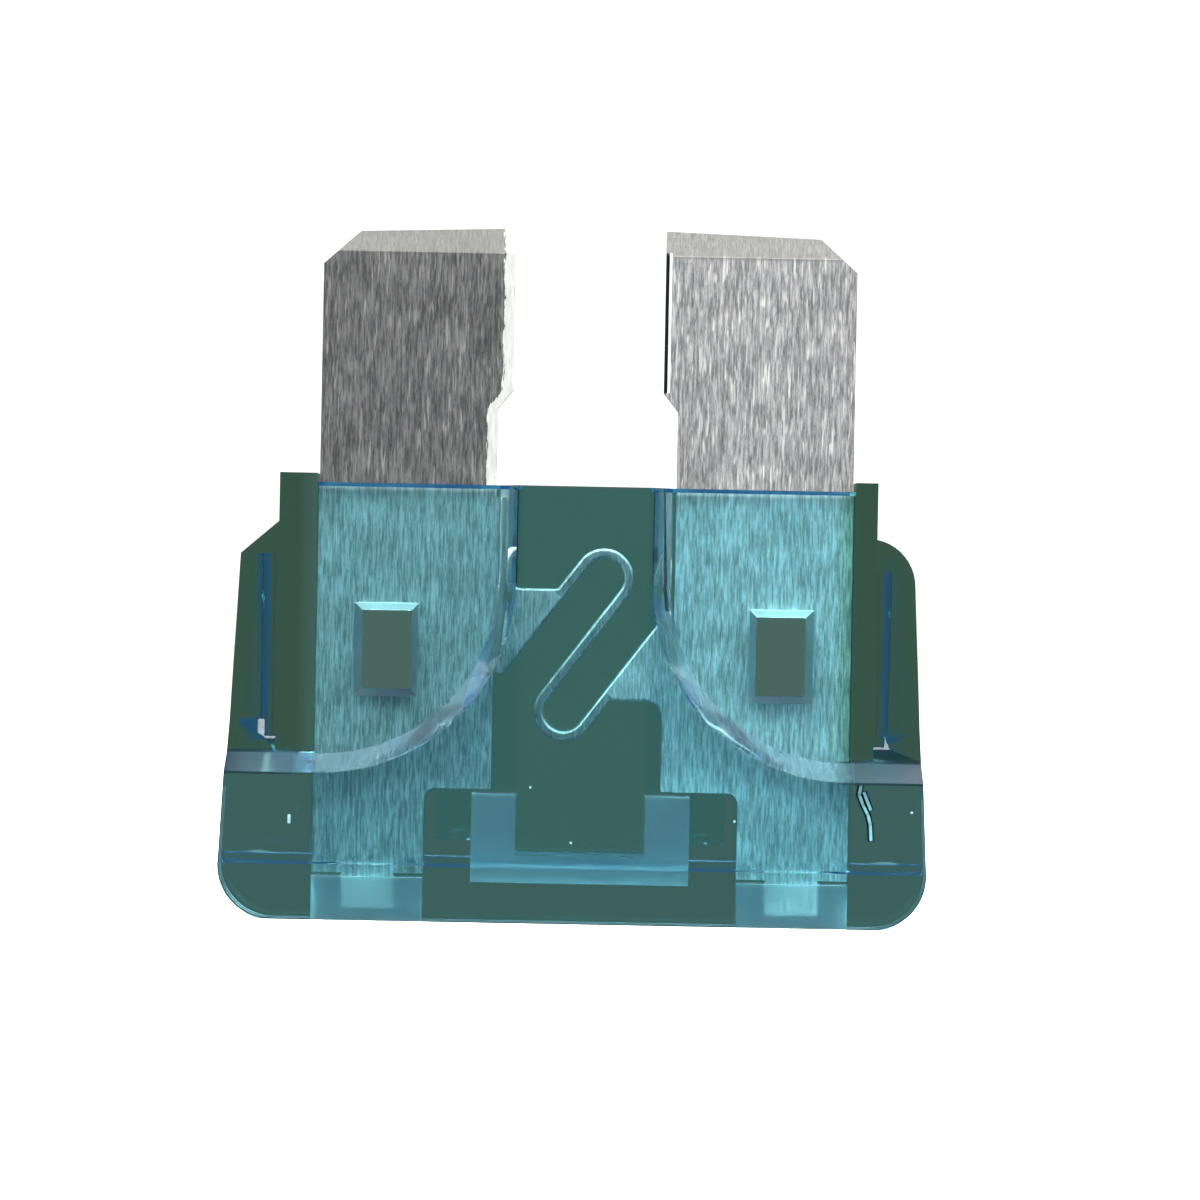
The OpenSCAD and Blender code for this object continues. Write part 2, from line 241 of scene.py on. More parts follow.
def select_edges(piece, degrees, wanted):
    """Selects edges, in edit mode, that turn by more than an angle and pass a test at both ends."""
    shape = bmesh.from_edit_mesh(piece.data)
    for edge in shape.edges:
        sharp = len(edge.link_faces) == 2 and edge.calc_face_angle() > math.radians(degrees)
        edge.select = sharp and all(wanted(v.co) for v in edge.verts)
    shape.select_flush_mode()
    bmesh.update_edit_mesh(piece.data)


def round_edges(radius, segments):
    """Rounds the selected edges and keeps the flat faces between them flat in their shading."""
    bpy.ops.mesh.bevel(offset=radius, segments=segments, clamp_overlap=True)
    bpy.ops.object.mode_set(mode="OBJECT")
    bpy.ops.object.shade_smooth_by_angle(angle=SMOOTH_ANGLE)
    bpy.ops.object.modifier_add(type="WEIGHTED_NORMAL")
    flat = bpy.context.object.modifiers[-1]
    flat.mode = "FACE_AREA"
    flat.weight = 100
    flat.keep_sharp = True
    bpy.ops.object.modifier_apply(modifier=flat.name)


# The contours that the mould leaves rounded: their heights above the grip end, and their distances from
# the middle planes, with a pair for the two ends of a range
RIM_TOP = 1.75 * MM
LOBE_FOOT = 2.2 * MM
WING_FOOT = 3.7 * MM
MOUTH_FOOT = 11.5 * MM
MOUTH_Y = 1.0 * MM
FACE_Y = 2.2 * MM
LOBE_X = 7.9 * MM
WING_X = 8.5 * MM
PIT_X = (4.2 * MM, 6.5 * MM)
PIT_Z = (5.5 * MM, 9.2 * MM)
PIT_FACE_Y = (1.2 * MM, 1.26 * MM)
# The coined link reaches this far from its middle, and is thinner than twice this
LINK_REACH = 2.2 * MM
LINK_HALF_THICK = 0.2 * MM


def moulded_edge(p):
    """Whether a corner of the housing belongs to a contour that the mould leaves rounded."""
    across = abs(p.x - LINK_X)
    in_face = abs(p.y) > FACE_Y
    grip = in_face and p.z < RIM_TOP
    lobes = in_face and p.z > LOBE_FOOT and abs(p.x) < LOBE_X
    wings = abs(p.x) > WING_X and p.z > WING_FOOT
    mouth = p.z > MOUTH_FOOT and abs(p.y) > MOUTH_Y
    on_wall = PIT_FACE_Y[0] < abs(p.y) < PIT_FACE_Y[1]
    pits = on_wall and PIT_X[0] < across < PIT_X[1] and PIT_Z[0] < p.z < PIT_Z[1]
    return grip or lobes or wings or mouth or pits


def coined_edge(p):
    """Whether a corner of the element belongs to the coined link."""
    return abs(p.x - LINK_X) < LINK_REACH and abs(p.y) < LINK_HALF_THICK


def stamped_edge(p):
    """Whether a corner of the element belongs to the rest of the strip."""
    return abs(p.x - LINK_X) > LINK_REACH or abs(p.y) > LINK_HALF_THICK


def finish_piece(piece, node_name, material):
    """Gives a piece its material, lets it ride on the body and stands it in for its node."""
    piece.data.materials.append(material)
    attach(piece, BODY)
    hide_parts(node_name)


# The pocket and the test openings stand between these distances from the middle plane, up to this height
CORE_Y = (0.45 * MM, 0.9 * MM)
CORE_TOP = 3.5 * MM
# The ends of the housing begin between these distances, and the painted shade on their walls
# between these heights
END_X = (7.0 * MM, 7.6 * MM)
END_SHADE_Z = (4.4 * MM, 4.6 * MM)
# Slopes of the pits and the steps, each with its middle and half its width
PIT_ACROSS = (5.35 * MM, 1.2 * MM)
PIT_TALL = (7.3 * MM, 1.7 * MM)
PIT_DEEP = (0.9 * MM, 0.3 * MM)
STEP_TALL = (4.2 * MM, 0.3 * MM)
# The least that a millimetre of plastic can let through, so that its logarithm exists
DARKEST = 0.01


def clear_plastic(look):
    """Polycarbonate, injection moulded: glossy and clear outside, matt where core pins left inner faces."""
    material, tree = new_material("moulded_polycarbonate")
    place = add_node(tree, "ShaderNodeTexCoord").outputs["Object"]
    axes = add_node(tree, "ShaderNodeSeparateXYZ", Vector=place)
    x, y, z = axes.outputs
    y_size = add_node(tree, "ShaderNodeMath", ABSOLUTE, i0=y)
    # No other faces than those of the pocket and the test openings lie in this region
    past_slot = add_node(tree, "ShaderNodeMath", GREATER, i0=y_size.outputs[0], i1=CORE_Y[0])
    inside = add_node(tree, "ShaderNodeMath", LESS, i0=y_size.outputs[0], i1=CORE_Y[1])
    low = add_node(tree, "ShaderNodeMath", LESS, i0=z, i1=CORE_TOP)
    core = add_node(tree, "ShaderNodeMath", MULTIPLY, i0=past_slot.outputs[0], i1=inside.outputs[0])
    core = add_node(tree, "ShaderNodeMath", MULTIPLY, i0=core.outputs[0], i1=low.outputs[0])
    # The pits in the walls end in sloped faces, which are matt too
    across = add_node(tree, "ShaderNodeMath", SUBTRACT, i0=x, i1=LINK_X)
    across = add_node(tree, "ShaderNodeMath", ABSOLUTE, i0=across.outputs[0])
    pit = add_node(tree, "ShaderNodeMath", COMPARE, i0=across.outputs[0], i1=PIT_ACROSS[0],
                   i2=PIT_ACROSS[1])
    tall = add_node(tree, "ShaderNodeMath", COMPARE, i0=z, i1=PIT_TALL[0], i2=PIT_TALL[1])
    deep = add_node(tree, "ShaderNodeMath", COMPARE, i0=y_size.outputs[0], i1=PIT_DEEP[0], i2=PIT_DEEP[1])
    pit = add_node(tree, "ShaderNodeMath", MULTIPLY, i0=pit.outputs[0], i1=tall.outputs[0])
    pit = add_node(tree, "ShaderNodeMath", MULTIPLY, i0=pit.outputs[0], i1=deep.outputs[0])
    core = add_node(tree, "ShaderNodeMath", LARGER, i0=core.outputs[0], i1=pit.outputs[0])
    matt = add_node(tree, "ShaderNodeMapRange", Value=core.outputs[0], To_Min=look.roughness,
                    To_Max=look.core_roughness)
    # The steps from the head up to the wings are half matt
    x_size = add_node(tree, "ShaderNodeMath", ABSOLUTE, i0=x)
    end = add_node(tree, "ShaderNodeMapRange", Value=x_size.outputs[0], From_Min=END_X[0],
                   From_Max=END_X[1])
    step = add_node(tree, "ShaderNodeMath", COMPARE, i0=z, i1=STEP_TALL[0], i2=STEP_TALL[1])
    step = add_node(tree, "ShaderNodeMath", MULTIPLY, i0=step.outputs[0], i1=end.outputs["Result"])
    matt = add_node(tree, "ShaderNodeMapRange", Value=step.outputs[0], To_Min=matt.outputs["Result"],
                    To_Max=look.step_roughness)
    # Painted shade: the walls and wings beside the metal get a darker, greener colour,
    # which stands in for the dark cloth seen through them
    above = add_node(tree, "ShaderNodeMapRange", Value=z, From_Min=END_SHADE_Z[0], From_Max=END_SHADE_Z[1])
    end_painted_shade = add_node(tree, "ShaderNodeMath", MULTIPLY, i0=end.outputs["Result"], i1=above.outputs["Result"])
    tint_and_painted_shade = add_node(tree, "ShaderNodeMix", RGBA, i0=end_painted_shade.outputs[0], i6=look.colour, i7=look.walls)
    # Painted shade: the slopes of the pits and the steps get darker colours, so they let less light through
    tint_and_painted_shade = add_node(tree, "ShaderNodeMix", RGBA, i0=pit.outputs[0], i6=tint_and_painted_shade.outputs[2], i7=look.slopes)
    tint_and_painted_shade = add_node(tree, "ShaderNodeMix", RGBA, i0=step.outputs[0], i6=tint_and_painted_shade.outputs[2], i7=look.steps)
    shader = add_node(tree, "ShaderNodeBsdfPrincipled", Roughness=matt.outputs["Result"],
                      Base_Color=tint_and_painted_shade.outputs[2])
    shader.inputs["Transmission Weight"].default_value = 1
    shader.inputs["IOR"].default_value = look.ior
    depth = add_node(tree, "ShaderNodeVolumeAbsorption")
    # What a millimetre lets through, as the absorption that leaves it
    taken = [-math.log(max(c, DARKEST)) for c in look.depth[:3]]
    most = max(taken)
    depth.inputs["Color"].default_value = [1 - t / most for t in taken] + [1]
    depth.inputs["Density"].default_value = most / MM
    out = add_node(tree, "ShaderNodeOutputMaterial", Surface=shader.outputs["BSDF"])
    tree.links.new(depth.outputs["Volume"], out.inputs["Volume"])
    return material


# A rolling line is ten times as long as it is wide, and this deep; a stroke is a little larger
LINE_SHORTNESS = 0.1
LINE_DEPTH = 0.02 * MM
STROKE_SCALE = 0.7
# The part of each noise that makes its pattern, and how much the clouds and the grain darken and brighten
LINE_RANGE = (0.36, 0.66)
STROKE_RANGE = (0.62, 0.72)
CLOUD_RANGE = (0.35, 0.7)
CLOUD_GAIN = (0.85, 1.1)
GRAIN_RANGE = (0.35, 0.65)
GRAIN_GAIN = (0.88, 1.12)
# Half of how far the borders of the painted shade and highlight wander, and how much of their colour they
# show
RAGGED = 0.13 * MM
PAINTED_SHARE = 0.9
# The lengths over which the finish changes at the mouth, and from the left half to the right one
MOUTH_FADE = 0.05 * MM
HALVES_FADE = 1.0 * MM
# The painted shade on the tips begins between these distances from the element's upper end
TIP_SHADE_FROM = (0.76 * MM, 0.64 * MM)
# The painted highlight of the left blade's inner edge widens at the shoulder, between these heights, from
# its border at the neck to that at the tip
SHOULDER_Z = (13.9 * MM, 14.4 * MM)
STRIP_X = (-2.53 * MM, -2.13 * MM)
# The painted highlight and shadow of the burr, and the parts of the link in its own directions, each with
# its middle and half its width
BURR_TALL = (16.3 * MM, 1.9 * MM)
BURR_HIGHLIGHT = (2.38 * MM, 0.035 * MM)
BURR_SHADOW = (2.28 * MM, 0.06 * MM)
LINK_ACROSS = (LINK_X, 1.8 * MM)
LINK_THIN = (0.0, 0.2 * MM)
LINK_MIDDLE = (0.0, 0.3 * MM)
# How far the outer strips of the link stand off its middle line
LINK_OUTER = 0.65 * MM
# A face of the link is flat where its normal's Y is past these, and gets this much painted reflection
# of the cloth
FLAT_FACE = (0.9, 0.98)
PAINTED_REFLECTION_WEIGHT = 0.5


def rolled_zinc(look):
    """Zinc alloy strip, cold rolled and stamped: satin, with short bright and dark lines along it."""
    material, tree = new_material("rolled_zinc")
    place = add_node(tree, "ShaderNodeTexCoord").outputs["Object"]
    axes = add_node(tree, "ShaderNodeSeparateXYZ", Vector=place)
    x, y, z = axes.outputs

    # Short lines along the blades: fine ones all over, and sparse strokes that are brighter
    fine = add_node(tree, "ShaderNodeMapping", Vector=place)
    fine.inputs["Scale"].default_value = (1 / look.line, 1 / look.line, LINE_SHORTNESS / look.line)
    lines = add_node(tree, "ShaderNodeTexNoise", Vector=fine.outputs["Vector"], Scale=1.0, Detail=3.0,
                     Roughness=0.7)
    shade = add_node(tree, "ShaderNodeMapRange", Value=lines.outputs[0], From_Min=LINE_RANGE[0],
                     From_Max=LINE_RANGE[1])
    strokes = add_node(tree, "ShaderNodeTexNoise", Vector=fine.outputs["Vector"], Scale=STROKE_SCALE,
                       Detail=1.0)
    stroke = add_node(tree, "ShaderNodeMapRange", Value=strokes.outputs[0], From_Min=STROKE_RANGE[0],
                      From_Max=STROKE_RANGE[1])
    # Cloudy patches of tarnish, about a millimetre across
    clouds = add_node(tree, "ShaderNodeTexNoise", Vector=place, Scale=1 / MM, Detail=3.0)
    cloud = add_node(tree, "ShaderNodeMapRange", Value=clouds.outputs[0], From_Min=CLOUD_RANGE[0],
                     From_Max=CLOUD_RANGE[1], To_Min=CLOUD_GAIN[0], To_Max=CLOUD_GAIN[1])

    handled = add_node(tree, "ShaderNodeMix", RGBA, i0=shade.outputs["Result"], i6=look.dull,
                       i7=look.bright)
    handled = add_node(tree, "ShaderNodeMix", RGBA, i0=stroke.outputs["Result"], i6=handled.outputs[2],
                       i7=look.dash)
    # Painted light: in the housing the zinc takes far brighter colours, for the light the plastic holds
    # back
    inside = add_node(tree, "ShaderNodeMix", RGBA, i0=shade.outputs["Result"], i6=look.painted_lit_zinc_dark,
                      i7=look.clean)
    inside = add_node(tree, "ShaderNodeMix", RGBA, i0=stroke.outputs["Result"], i6=inside.outputs[2],
                      i7=look.clean)
    bare = add_node(tree, "ShaderNodeMapRange", Value=z, From_Min=MOUTH_Z - MOUTH_FADE, From_Max=MOUTH_Z)
    colour = add_node(tree, "ShaderNodeMix", RGBA, i0=bare.outputs["Result"], i6=inside.outputs[2],
                      i7=handled.outputs[2])

    # The left half is tarnished more than the right
    tarnish = add_node(tree, "ShaderNodeMapRange", Value=bare.outputs["Result"], To_Min=look.left_inside,
                       To_Max=look.left_bare)
    half = add_node(tree, "ShaderNodeMapRange", Value=x, From_Min=-HALVES_FADE, From_Max=HALVES_FADE,
                    To_Min=tarnish.outputs["Result"])
    gain = add_node(tree, "ShaderNodeMath", MULTIPLY, i0=half.outputs["Result"], i1=cloud.outputs["Result"])
    colour = add_node(tree, "ShaderNodeVectorMath", SCALE, i0=colour.outputs[2], Scale=gain.outputs[0])

    # Painted shade darkens the thin lead-ins at the tips, and a painted highlight lights the left blade's
    # rolled-over inner edge; both have ragged borders
    ragged = add_node(tree, "ShaderNodeMath", {"operation": "MULTIPLY_ADD"}, i0=lines.outputs[0],
                      i1=2 * RAGGED, i2=-RAGGED)
    high = add_node(tree, "ShaderNodeMath", ADD, i0=z, i1=ragged.outputs[0])
    beside = add_node(tree, "ShaderNodeMath", ADD, i0=x, i1=ragged.outputs[0])
    top = add_node(tree, "ShaderNodeMapRange", Value=high.outputs[0], From_Min=ELEMENT_HIGH.z - TIP_SHADE_FROM[0],
                   From_Max=ELEMENT_HIGH.z - TIP_SHADE_FROM[1], To_Max=PAINTED_SHARE)
    colour = add_node(tree, "ShaderNodeMix", RGBA, i0=top.outputs["Result"], i6=colour.outputs[0],
                      i7=look.tip)
    inner = add_node(tree, "ShaderNodeMapRange", Value=z, From_Min=SHOULDER_Z[0], From_Max=SHOULDER_Z[1],
                     To_Min=STRIP_X[0], To_Max=STRIP_X[1])
    past = add_node(tree, "ShaderNodeMath", GREATER, i0=beside.outputs[0], i1=inner.outputs["Result"])
    left = add_node(tree, "ShaderNodeMath", LESS, i0=x, i1=0.0)
    rim = add_node(tree, "ShaderNodeMath", MULTIPLY, i0=past.outputs[0], i1=left.outputs[0])
    rim = add_node(tree, "ShaderNodeMath", MULTIPLY, i0=rim.outputs[0], i1=bare.outputs["Result"])
    rim = add_node(tree, "ShaderNodeMath", MULTIPLY, i0=rim.outputs[0], i1=PAINTED_SHARE)
    colour = add_node(tree, "ShaderNodeMix", RGBA, i0=rim.outputs[0], i6=colour.outputs[2], i7=look.painted_light)
    # A burr along the right blade's inner edge, drawn as a painted highlight with a painted shadow outside
    # it
    tall = add_node(tree, "ShaderNodeMath", COMPARE, i0=z, i1=BURR_TALL[0], i2=BURR_TALL[1])
    for band, tone in ((BURR_HIGHLIGHT, look.clean), (BURR_SHADOW, look.shadow)):
        line = add_node(tree, "ShaderNodeMath", COMPARE, i0=x, i1=band[0], i2=band[1])
        line = add_node(tree, "ShaderNodeMath", MULTIPLY, i0=line.outputs[0], i1=tall.outputs[0])
        colour = add_node(tree, "ShaderNodeMix", RGBA, i0=line.outputs[0], i6=colour.outputs[2], i7=tone)
    grain = add_node(tree, "ShaderNodeMapRange", Value=lines.outputs[0], From_Min=GRAIN_RANGE[0],
                     From_Max=GRAIN_RANGE[1], To_Min=GRAIN_GAIN[0], To_Max=GRAIN_GAIN[1])
    colour = add_node(tree, "ShaderNodeVectorMath", SCALE, i0=colour.outputs[2],
                      Scale=grain.outputs["Result"])

    # The link was coined thin and smooth; a painted reflection of the dark cloth darkens its flat faces,
    # so only its edges shine
    link_middle = (LINK_X, 0, LINK_Z)
    turned = add_node(tree, "ShaderNodeVectorRotate", {"rotation_type": "Y_AXIS"}, Vector=place,
                      Angle=LINK_ANGLE, Center=link_middle)
    along = add_node(tree, "ShaderNodeVectorMath", SUBTRACT, i0=turned.outputs[0], i1=link_middle)
    parts = add_node(tree, "ShaderNodeSeparateXYZ", Vector=along.outputs[0])
    side = add_node(tree, "ShaderNodeMath", {"operation": "SIGN"}, i0=parts.outputs["Z"])
    reach = add_node(tree, "ShaderNodeMath", MULTIPLY, i0=parts.outputs["X"], i1=side.outputs[0])
    outer = add_node(tree, "ShaderNodeMath", GREATER, i0=reach.outputs[0], i1=LINK_OUTER)
    middle = add_node(tree, "ShaderNodeMath", COMPARE, i0=parts.outputs["Z"], i1=LINK_MIDDLE[0],
                      i2=LINK_MIDDLE[1])
    strip = add_node(tree, "ShaderNodeMath", LARGER, i0=outer.outputs[0], i1=middle.outputs[0])
    near = add_node(tree, "ShaderNodeMath", COMPARE, i0=x, i1=LINK_ACROSS[0], i2=LINK_ACROSS[1])
    thin = add_node(tree, "ShaderNodeMath", COMPARE, i0=y, i1=LINK_THIN[0], i2=LINK_THIN[1])
    strip = add_node(tree, "ShaderNodeMath", MULTIPLY, i0=strip.outputs[0], i1=near.outputs[0])
    strip = add_node(tree, "ShaderNodeMath", MULTIPLY, i0=strip.outputs[0], i1=thin.outputs[0])
    normal = add_node(tree, "ShaderNodeNewGeometry").outputs["Normal"]
    facing = add_node(tree, "ShaderNodeSeparateXYZ", Vector=normal)
    flat = add_node(tree, "ShaderNodeMath", ABSOLUTE, i0=facing.outputs["Y"])
    flat = add_node(tree, "ShaderNodeMapRange", Value=flat.outputs[0], From_Min=FLAT_FACE[0],
                    From_Max=FLAT_FACE[1], To_Max=PAINTED_REFLECTION_WEIGHT)
    mirror = add_node(tree, "ShaderNodeMath", MULTIPLY, i0=strip.outputs[0], i1=flat.outputs["Result"])
    colour = add_node(tree, "ShaderNodeMix", RGBA, i0=mirror.outputs[0], i6=colour.outputs[0],
                      i7=look.shadow)

    bump = add_node(tree, "ShaderNodeBump", Height=lines.outputs[0], Strength=0.4, Distance=LINE_DEPTH)
    shader = add_node(tree, "ShaderNodeBsdfPrincipled", Base_Color=colour.outputs[2],
                      Normal=bump.outputs["Normal"])
    shader.inputs["Metallic"].default_value = 1
    shader.inputs["Roughness"].default_value = look.roughness
    add_node(tree, "ShaderNodeOutputMaterial", Surface=shader.outputs["BSDF"])
    return material


class FUSE_OT_housing(bpy.types.Operator):
    """Rounds the outer edges of the moulded housing and fills it with clear plastic."""
    bl_idname = "fuse.housing"
    bl_label = "Housing"

    def execute(self, context):
        look = context.scene.fuse_housing
        piece = edit_copy("housing", "moulded_housing")
        select_edges(piece, MOULDED_TURN, moulded_edge)
        round_edges(look.edge, 3)
        finish_piece(piece, "housing", clear_plastic(look))
        return {"FINISHED"}


class FUSE_OT_element(bpy.types.Operator):
    """Rounds the edges of the stamped element and gives it its rolled finish."""
    bl_idname = "fuse.element"
    bl_label = "Element"

    def execute(self, context):
        look = context.scene.fuse_element
        piece = edit_copy("fuse_element", "stamped_element")
        select_edges(piece, STAMPED_TURN, coined_edge)
        bpy.ops.mesh.bevel(offset=look.link_edge, segments=2, clamp_overlap=True)
        select_edges(piece, STAMPED_TURN, stamped_edge)
        round_edges(look.edge, 2)
        finish_piece(piece, "fuse_element", rolled_zinc(look))
        return {"FINISHED"}


def add_streak(start, end, width, front, depth):
    """A thin sliver between two points of the front view, with its front and its depth as given."""
    bpy.ops.mesh.primitive_cube_add(size=1)
    sliver = bpy.context.active_object
    run = Vector(end) - Vector(start)
    middle = (Vector(end) + Vector(start)) / 2
    sliver.scale = (width, depth, run.length + width / 2)
    sliver.rotation_euler = (0, math.atan2(run.x, run.y), 0)
    sliver.location = (middle.x, front + depth / 2, middle.y)
    return sliver


def add_speck(place, radius, front):
    """A small bubble just behind the front face."""
    x, z = place
    bpy.ops.mesh.primitive_ico_sphere_add(subdivisions=2, radius=radius, location=(x, front, z))
    return bpy.context.active_object


def join_flaws(parts, name, material_name, colour):
    """Joins slivers and bubbles into one piece at the origin, gives it its painted colour and lets it ride.
    """
    bpy.ops.object.select_all(action="DESELECT")
    for part in parts:
        part.select_set(True)
    bpy.context.view_layer.objects.active = parts[0]
    bpy.ops.object.join()
    piece = bpy.context.active_object
    piece.name = name
    piece.data.name = name
    bpy.ops.object.transform_apply(location=True, rotation=True, scale=True)
    # The flaws are real, their colours painted: white for the painted highlights of the crack, the dash
    # and the bubbles, dark for the painted shadow on the crack's flanks
    broken, tree = new_material(material_name)
    shader = add_node(tree, "ShaderNodeBsdfPrincipled", Roughness=0.3)
    shader.inputs["Base Color"].default_value = colour
    add_node(tree, "ShaderNodeOutputMaterial", Surface=shader.outputs["BSDF"])
    piece.data.materials.append(broken)
    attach(piece, BODY)


# Places of the flaws in the front view: the points of the crack and of its side branch, the ends of the
# dash at the left end of the head, and the bubbles
CRACK = [(7.52, 4.41), (7.61, 4.07), (7.77, 3.87), (7.73, 3.62), (7.83, 3.35), (7.97, 3.08), (8.04, 2.81),
         (8.07, 2.39)]
BRANCH = [(7.86, 3.67), (8.04, 3.22)]
DASH = [(-7.64, 2.6), (-7.64, 2.8)]
BUBBLES = [(-1.16, 3.66), (-0.04, 2.18), (4.36, 2.84), (9.13, 3.17)]
# How deep the crack and the dash reach, and how far behind the front face the bubbles lie
CRACK_REACH = 0.75 * MM
DASH_REACH = 0.3 * MM
BUBBLE_BEHIND = 0.4 * MM
# The dark flanks, a painted shadow, are this much wider than the crack, and begin and end inside its depth
FLANK_WIDTHS = 2.4
FLANK_BEHIND = 0.35 * MM
FLANK_REACH = 0.25 * MM


def in_metres(points):
    """Points of the front view, given in millimetres."""
    return [(x * MM, z * MM) for x, z in points]


class FUSE_OT_flaws(bpy.types.Operator):
    """Adds the crack at the right end of the head and the few bubbles in the plastic."""
    bl_idname = "fuse.flaws"
    bl_label = "Flaws"

    def execute(self, context):
        look = context.scene.fuse_flaws
        crack = in_metres(CRACK)
        pairs = list(zip(crack, crack[1:]))
        pairs.append(in_metres(BRANCH))
        # The white slivers paint the crack's highlight, the dark ones behind them a painted shadow on its
        # flanks
        front = -look.crack_depth
        flank_width = look.crack_width * FLANK_WIDTHS
        shadows = [add_streak(a, b, flank_width, front + FLANK_BEHIND, FLANK_REACH) for a, b in pairs]
        join_flaws(shadows, "crack_shadow", "crack_painted_shadow", look.shadow)

        parts = [add_streak(a, b, look.crack_width, front, CRACK_REACH) for a, b in pairs]
        front = -look.face_depth
        parts.append(add_streak(*in_metres(DASH), look.crack_width, front, DASH_REACH))
        for place in in_metres(BUBBLES):
            parts.append(add_speck(place, look.speck, front + BUBBLE_BEHIND))
        join_flaws(parts, "crack_and_bubbles", "flaws_painted_highlight", look.colour)
        return {"FINISHED"}


def aim(lamp, target):
    """Turns a lamp so that it looks at a point."""
    lamp.rotation_euler = (Vector(target) - lamp.location).to_track_quat("-Z", "Y").to_euler()


def add_softbox(name, place, size, watts):
    """A square white area lamp that looks at the middle of the fuse and isn't seen itself."""
    bpy.ops.object.light_add(type="AREA", location=place)
    lamp = bpy.context.active_object
    lamp.name = name
    lamp.data.shape = "SQUARE"
    lamp.data.size = size
    lamp.data.energy = watts
    lamp.visible_camera = False
    aim(lamp, (0, 0, ELEMENT_HIGH.z / 2))


FLOOR_RADIUS = 1.2
# Each softbox's name, place and size in metres, and power in watts
SOFTBOXES = (
    ("key_softbox", (-0.135, -0.12, 0.2), 0.3, 2.4),
    ("side_softbox", (0.135, -0.12, 0.2), 0.3, 2.2),
    ("back_softbox", (0.135, 0.08, 0.216), 0.25, 1.8),
)
# Strength of the white that the camera and the floor see
WHITE_STRENGTH = 1.2
# Where the cloth and the shade around it begin and are whole, as the Y of a direction,
# and where the shade below does, as its Z
CLOTH_FROM = (0.965, 0.985)
SHADE_FROM = (0.68, 0.8)
BELOW_FROM = (-0.2, -0.5)


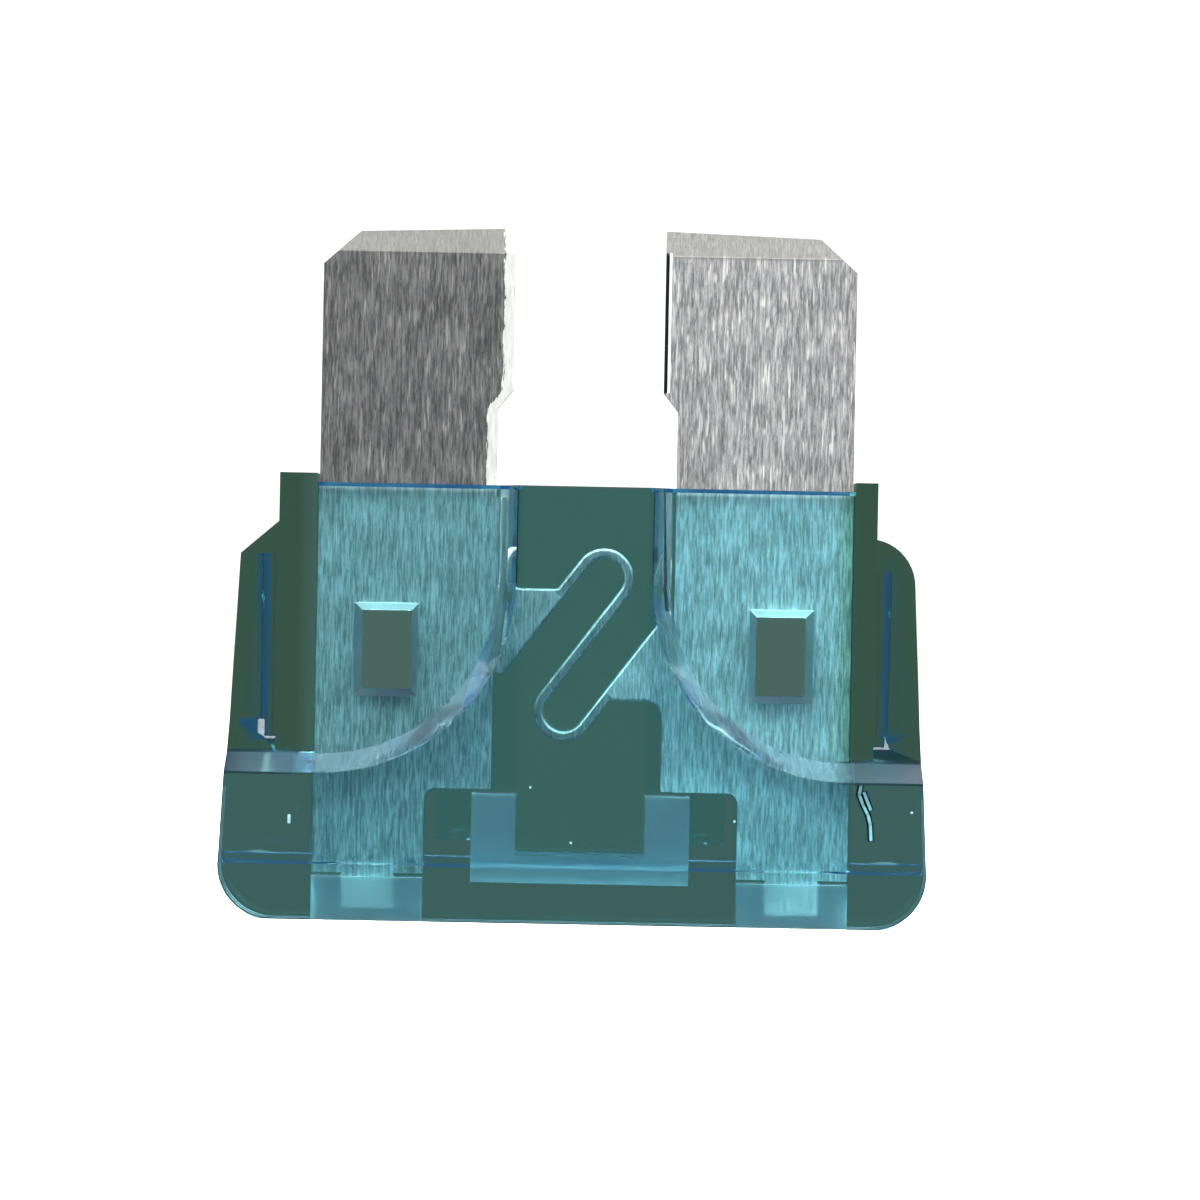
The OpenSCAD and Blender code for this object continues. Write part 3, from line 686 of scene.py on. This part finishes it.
class FUSE_OT_stage(bpy.types.Operator):
    """Sets the pale floor, the soft lamps and the camera of the photograph."""
    bl_idname = "fuse.stage"
    bl_label = "Stage"

    def execute(self, context):
        look = context.scene.fuse_stage
        bpy.ops.mesh.primitive_circle_add(vertices=96, radius=FLOOR_RADIUS, fill_type="NGON")
        floor = bpy.context.active_object
        floor.name = "floor"
        floor.visible_transmission = False
        floor.visible_glossy = False
        paint, tree = new_material("matt_floor_paint")
        shader = add_node(tree, "ShaderNodeBsdfPrincipled", Roughness=0.9)
        shader.inputs["Specular IOR Level"].default_value = 0
        shader.inputs["Base Color"].default_value = look.floor
        add_node(tree, "ShaderNodeOutputMaterial", Surface=shader.outputs["BSDF"])
        floor.data.materials.append(paint)

        for name, place, size, watts in SOFTBOXES:
            add_softbox(name, place, size, watts)

        world = bpy.data.worlds.new("studio_room")
        context.scene.world = world
        world.use_nodes = True
        tree = world.node_tree
        tree.nodes.clear()
        seen = add_node(tree, "ShaderNodeBackground", Strength=WHITE_STRENGTH)
        seen.inputs["Color"].default_value = (1, 1, 1, 1)
        # Straight ahead and straight back hangs the cloth, with a blue shade around it and below,
        # and daylight past it
        place = add_node(tree, "ShaderNodeTexCoord").outputs["Generated"]
        axes = add_node(tree, "ShaderNodeSeparateXYZ", Vector=place)
        ahead = add_node(tree, "ShaderNodeMath", ABSOLUTE, i0=axes.outputs["Y"])
        near = add_node(tree, "ShaderNodeMapRange", Value=ahead.outputs[0], From_Min=CLOTH_FROM[0],
                        From_Max=CLOTH_FROM[1])
        far = add_node(tree, "ShaderNodeMapRange", Value=ahead.outputs[0], From_Min=SHADE_FROM[0],
                       From_Max=SHADE_FROM[1])
        below = add_node(tree, "ShaderNodeMapRange", Value=axes.outputs["Z"], From_Min=BELOW_FROM[0],
                         From_Max=BELOW_FROM[1])
        shaded = add_node(tree, "ShaderNodeMath", LARGER, i0=far.outputs["Result"],
                          i1=below.outputs["Result"])
        around = add_node(tree, "ShaderNodeMix", RGBA, i0=shaded.outputs[0], i6=look.daylight,
                          i7=look.shade)
        around = add_node(tree, "ShaderNodeMix", RGBA, i0=near.outputs["Result"], i6=around.outputs[2],
                          i7=look.cloth)
        room = add_node(tree, "ShaderNodeBackground", Strength=1.0, Color=around.outputs[2])
        path = add_node(tree, "ShaderNodeLightPath")
        # The floor and the camera see white, so that the ground stays pale around the fuse
        white = add_node(tree, "ShaderNodeMath", LARGER, i0=path.outputs["Is Camera Ray"],
                         i1=path.outputs["Is Diffuse Ray"])
        both = add_node(tree, "ShaderNodeMixShader", i0=white.outputs[0], i1=room.outputs[0],
                        i2=seen.outputs[0])
        add_node(tree, "ShaderNodeOutputWorld", Surface=both.outputs[0])

        side = PHOTO_SIDE / look.scale * MM
        lean = math.tan(look.roll)
        off_x = PHOTO_SIDE / 2 - PHOTO_FOOT_X
        off_y = PHOTO_FOOT_Y - PHOTO_SIDE / 2
        centre_x = (off_x - lean * off_y) / look.scale * MM
        centre_z = (off_y + lean * off_x) / look.scale * MM
        bpy.ops.object.camera_add()
        camera = bpy.context.active_object
        camera.name = "photo_camera"
        camera.data.lens = look.lens
        distance = side * look.lens / camera.data.sensor_width
        camera.location = (centre_x, -distance, centre_z)
        camera.rotation_euler = (math.pi / 2, -look.roll, 0)
        camera.data.clip_start = MM
        context.scene.camera = camera
        context.scene.view_settings.view_transform = "Standard"
        return {"FINISHED"}


class FUSE_PT_panel(bpy.types.Panel):
    """Lists the steps that build the scene."""
    bl_label = "Blade Fuse"
    bl_space_type = "VIEW_3D"
    bl_region_type = "UI"
    bl_category = "Blade Fuse"

    def draw(self, context):
        for name in ("fuse_housing", "fuse_element", "fuse_flaws", "fuse_stage"):
            look = getattr(context.scene, name)
            for key in look.__annotations__:
                self.layout.prop(look, key)
        for step in (FUSE_OT_housing, FUSE_OT_element, FUSE_OT_flaws, FUSE_OT_stage):
            self.layout.operator(step.bl_idname)


CLASSES = (HousingLook, ElementLook, FlawsLook, StageLook, FUSE_OT_housing, FUSE_OT_element, FUSE_OT_flaws,
           FUSE_OT_stage, FUSE_PT_panel)


def register():
    for cls in CLASSES:
        bpy.utils.register_class(cls)
    bpy.types.Scene.fuse_housing = PointerProperty(type=HousingLook)
    bpy.types.Scene.fuse_element = PointerProperty(type=ElementLook)
    bpy.types.Scene.fuse_flaws = PointerProperty(type=FlawsLook)
    bpy.types.Scene.fuse_stage = PointerProperty(type=StageLook)


def unregister():
    del bpy.types.Scene.fuse_stage
    del bpy.types.Scene.fuse_flaws
    del bpy.types.Scene.fuse_element
    del bpy.types.Scene.fuse_housing
    for cls in reversed(CLASSES):
        bpy.utils.unregister_class(cls)


def main():
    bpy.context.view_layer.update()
    bpy.ops.object.select_all(action="DESELECT")
    register()
    bpy.ops.fuse.housing()
    bpy.ops.fuse.element()
    bpy.ops.fuse.flaws()
    bpy.ops.fuse.stage()


if __name__ == "__main__":
    main()
